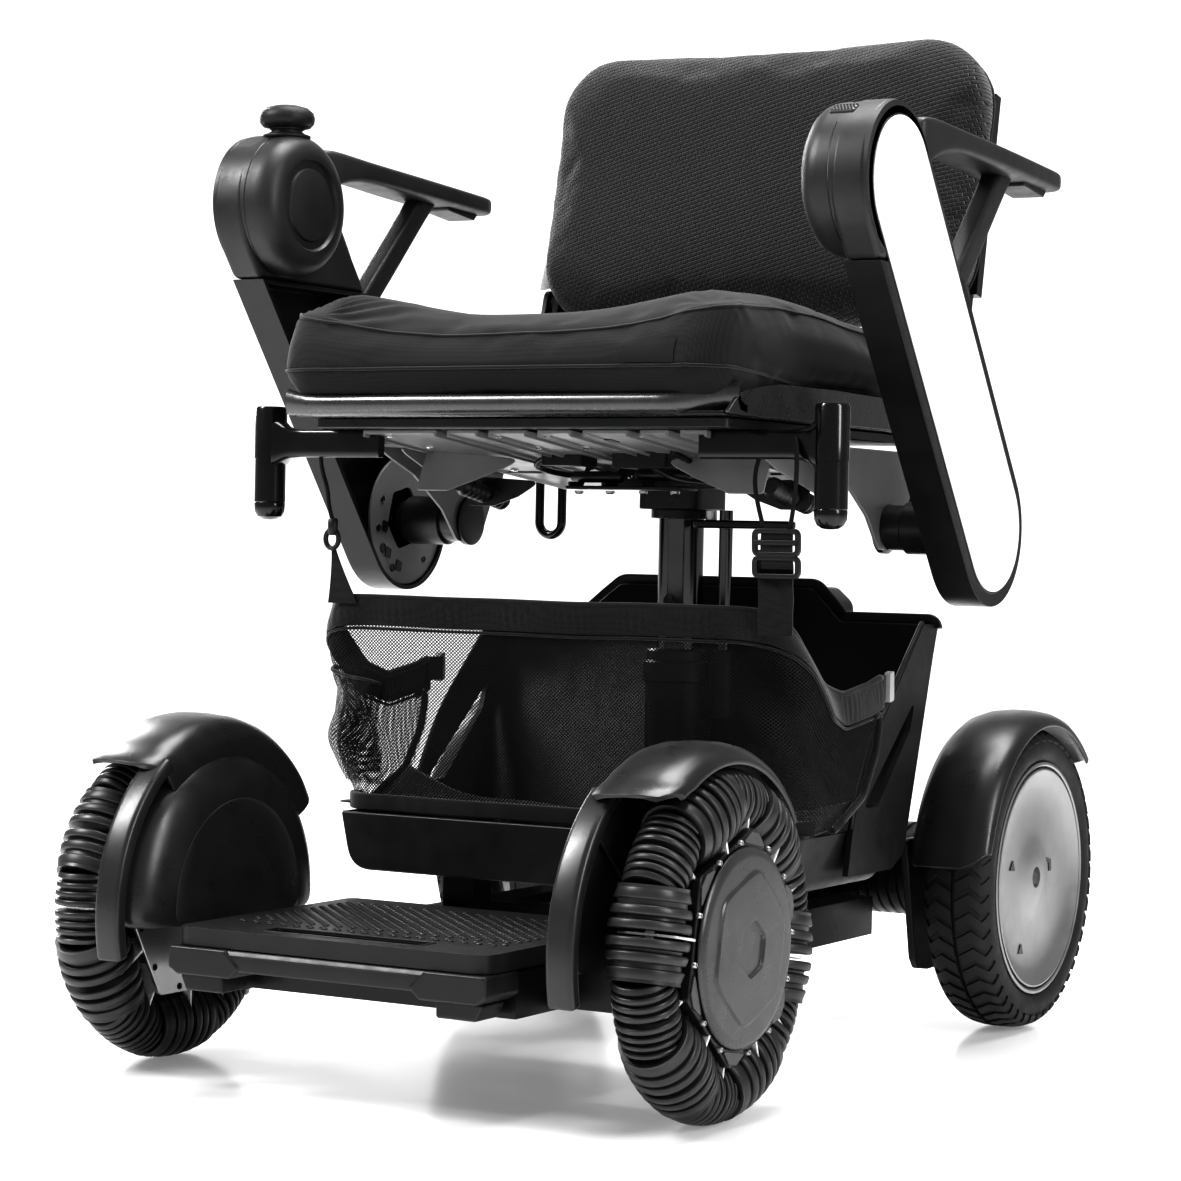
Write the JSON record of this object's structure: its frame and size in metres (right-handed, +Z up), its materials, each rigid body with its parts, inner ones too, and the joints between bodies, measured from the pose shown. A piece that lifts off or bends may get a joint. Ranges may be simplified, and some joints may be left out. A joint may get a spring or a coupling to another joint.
{
  "type": "power wheelchair",
  "caption": "Mid-wheel-size power wheelchair with ribbed all-direction front wheels, post-mounted seat, swing-up arms, joystick, foot platform and net basket.",
  "frame": {"origin": "on the floor, at the middle of the chair's outline", "axes": "+Z up, the chair faces -Y, +X is the sitter's left"},
  "size_m": [0.622, 0.8454, 0.8811],
  "materials": {
    "frame": "satin black paint",
    "alloy": "bead-blasted",
    "body_plastic": "fine satin grain",
    "fender_plastic": "satin",
    "cap_plastic": "brushed satin",
    "white_panel": "gloss white",
    "roller_rubber": "ribbed",
    "tyre_rubber": "chevron tread",
    "rim_silver": "satin silver",
    "pan_black": "gloss black",
    "post_steel": "polished black",
    "seat_fabric": "woven",
    "mesh_fabric": "spacer mesh",
    "basket_fabric": "net and webbing",
    "control_plastic": "soft-touch",
    "knob_rubber": "satin",
    "grip_black": "gloss black"
  },
  "bodies": {
    "base": {"chassis_frame": "frame", "tub_shell": "body_plastic", "controller_box": "alloy", "footplate": "body_plastic", "front_bumper": "body_plastic", "wheel_covers": "body_plastic", "post_socket": "frame", "basket": "basket_fabric", "basket_straps": "basket_fabric", "front_fender_left": "fender_plastic", "rear_fender_left": "fender_plastic", "drive_motor_left": "alloy", "front_fender_right": "fender_plastic", "rear_fender_right": "fender_plastic", "drive_motor_right": "alloy"},
    "battery": {"battery_pack": "body_plastic"},
    "seat": {"seat_post": "post_steel", "seat_frame": "frame", "lift_loops": "frame", "seat_pan": "pan_black", "seat_cushion": "seat_fabric", "front_grip_left": "grip_black", "front_grip_right": "grip_black"},
    "lever": {"release_lever": "grip_black"},
    "backrest": {"back_cushion": "mesh_fabric", "back_frame": "frame"},
    "front_wheel_left": {"front_hub_left": "alloy", "front_cap_left": "cap_plastic", "corner_rollers_left": "roller_rubber"},
    "rear_wheel_left": {"rear_tyre_left": "tyre_rubber", "rear_rim_left": "rim_silver"},
    "arm_left": {"arm_shell_left": "body_plastic", "arm_panel_left": "white_panel", "control_pod_left": "control_plastic", "armrest_left": "control_plastic"},
    "roller_left_1": {"roller_pair_left_1": "roller_rubber"},
    "roller_left_2": {"roller_pair_left_2": "roller_rubber"},
    "roller_left_3": {"roller_pair_left_3": "roller_rubber"},
    "roller_left_4": {"roller_pair_left_4": "roller_rubber"},
    "roller_left_5": {"roller_pair_left_5": "roller_rubber"},
    "roller_left_6": {"roller_pair_left_6": "roller_rubber"},
    "front_wheel_right": {"front_hub_right": "alloy", "front_cap_right": "cap_plastic", "corner_rollers_right": "roller_rubber"},
    "rear_wheel_right": {"rear_tyre_right": "tyre_rubber", "rear_rim_right": "rim_silver"},
    "arm_right": {"arm_shell_right": "body_plastic", "arm_panel_right": "white_panel", "control_pod_right": "control_plastic", "armrest_right": "control_plastic"},
    "roller_right_1": {"roller_pair_right_1": "roller_rubber"},
    "roller_right_2": {"roller_pair_right_2": "roller_rubber"},
    "roller_right_3": {"roller_pair_right_3": "roller_rubber"},
    "roller_right_4": {"roller_pair_right_4": "roller_rubber"},
    "roller_right_5": {"roller_pair_right_5": "roller_rubber"},
    "roller_right_6": {"roller_pair_right_6": "roller_rubber"},
    "speed_button": {"speed_button": "knob_rubber"},
    "joystick_gimbal": {"joystick_gimbal": "control_plastic", "joystick_boot": "knob_rubber"},
    "joystick_stick": {"joystick_knob": "knob_rubber"}
  },
  "joints": [
    {"name": "front_wheel_spin_left", "type": "hinge", "parent": "base", "child": "front_wheel_left", "pos_m": [0.247, -0.28175, 0.13], "axis": [1, 0, 0], "continuous": true},
    {"name": "rear_wheel_spin_left", "type": "hinge", "parent": "base", "child": "rear_wheel_left", "pos_m": [0.249, 0.28925, 0.1335], "axis": [1, 0, 0], "continuous": true},
    {"name": "roller_spin_left_1", "type": "hinge", "parent": "front_wheel_left", "child": "roller_left_1", "pos_m": [0.247, -0.31595, 0.22397], "axis": [0, -0.9397, -0.342], "continuous": true},
    {"name": "roller_spin_left_2", "type": "hinge", "parent": "front_wheel_left", "child": "roller_left_2", "pos_m": [0.247, -0.38023, 0.14736], "axis": [0, -0.1736, -0.9848], "continuous": true},
    {"name": "roller_spin_left_3", "type": "hinge", "parent": "front_wheel_left", "child": "roller_left_3", "pos_m": [0.247, -0.34603, 0.0534], "axis": [0, 0.766, -0.6428], "continuous": true},
    {"name": "roller_spin_left_4", "type": "hinge", "parent": "front_wheel_left", "child": "roller_left_4", "pos_m": [0.247, -0.24755, 0.03603], "axis": [0, 0.9397, 0.342], "continuous": true},
    {"name": "roller_spin_left_5", "type": "hinge", "parent": "front_wheel_left", "child": "roller_left_5", "pos_m": [0.247, -0.18327, 0.11263], "axis": [0, 0.1736, 0.9848], "continuous": true},
    {"name": "roller_spin_left_6", "type": "hinge", "parent": "front_wheel_left", "child": "roller_left_6", "pos_m": [0.247, -0.21747, 0.2066], "axis": [0, -0.766, 0.6428], "continuous": true},
    {"name": "front_wheel_spin_right", "type": "hinge", "parent": "base", "child": "front_wheel_right", "pos_m": [-0.247, -0.28175, 0.13], "axis": [1, 0, 0], "continuous": true},
    {"name": "rear_wheel_spin_right", "type": "hinge", "parent": "base", "child": "rear_wheel_right", "pos_m": [-0.249, 0.28925, 0.1335], "axis": [1, 0, 0], "continuous": true},
    {"name": "roller_spin_right_1", "type": "hinge", "parent": "front_wheel_right", "child": "roller_right_1", "pos_m": [-0.247, -0.28175, 0.23], "axis": [0, -1, 0], "continuous": true},
    {"name": "roller_spin_right_2", "type": "hinge", "parent": "front_wheel_right", "child": "roller_right_2", "pos_m": [-0.247, -0.36835, 0.18], "axis": [0, -0.5, -0.866], "continuous": true},
    {"name": "roller_spin_right_3", "type": "hinge", "parent": "front_wheel_right", "child": "roller_right_3", "pos_m": [-0.247, -0.36835, 0.08], "axis": [0, 0.5, -0.866], "continuous": true},
    {"name": "roller_spin_right_4", "type": "hinge", "parent": "front_wheel_right", "child": "roller_right_4", "pos_m": [-0.247, -0.28175, 0.03], "axis": [0, 1, 0], "continuous": true},
    {"name": "roller_spin_right_5", "type": "hinge", "parent": "front_wheel_right", "child": "roller_right_5", "pos_m": [-0.247, -0.19515, 0.08], "axis": [0, 0.5, 0.866], "continuous": true},
    {"name": "roller_spin_right_6", "type": "hinge", "parent": "front_wheel_right", "child": "roller_right_6", "pos_m": [-0.247, -0.19515, 0.18], "axis": [0, -0.5, 0.866], "continuous": true},
    {"name": "seat_height", "type": "slide", "parent": "base", "child": "seat", "axis": [0, 0, 1], "range_m": [0, 0.06], "deforming": ["basket_straps"]},
    {"name": "battery_slide", "type": "slide", "parent": "base", "child": "battery", "axis": [0, 1, 0], "range_m": [0, 0.15]},
    {"name": "lever_release", "type": "hinge", "parent": "seat", "child": "lever", "pos_m": [0.048, 0.08525, 0.44], "axis": [0, 0, -1], "range_deg": [0, 25], "stiffness_Nm_per_rad": 0.4},
    {"name": "back_fold", "type": "hinge", "parent": "seat", "child": "backrest", "pos_m": [0, 0.24225, 0.646], "axis": [1, 0, 0], "range_deg": [0, 85]},
    {"name": "arm_lift_left", "type": "hinge", "parent": "seat", "child": "arm_left", "pos_m": [0.24, 0.09825, 0.439], "axis": [-1, 0, 0], "range_deg": [0, 65]},
    {"name": "arm_lift_right", "type": "hinge", "parent": "seat", "child": "arm_right", "pos_m": [-0.24, 0.09825, 0.439], "axis": [-1, 0, 0], "range_deg": [0, 65]},
    {"name": "speed_button_press", "type": "slide", "parent": "arm_left", "child": "speed_button", "axis": [0, 0.5299, -0.848], "range_m": [0, 0.002], "stiffness_N_per_m": 600},
    {"name": "joystick_fore_aft", "type": "hinge", "parent": "arm_right", "child": "joystick_gimbal", "pos_m": [-0.2705, -0.10675, 0.7355], "axis": [1, 0, 0], "range_deg": [-10, 10], "stiffness_Nm_per_rad": 0.4, "deforming": ["joystick_boot"]},
    {"name": "joystick_side", "type": "hinge", "parent": "joystick_gimbal", "child": "joystick_stick", "pos_m": [-0.2705, -0.10675, 0.7355], "axis": [0, 1, 0], "range_deg": [-10, 10], "stiffness_Nm_per_rad": 0.4}
  ]
}
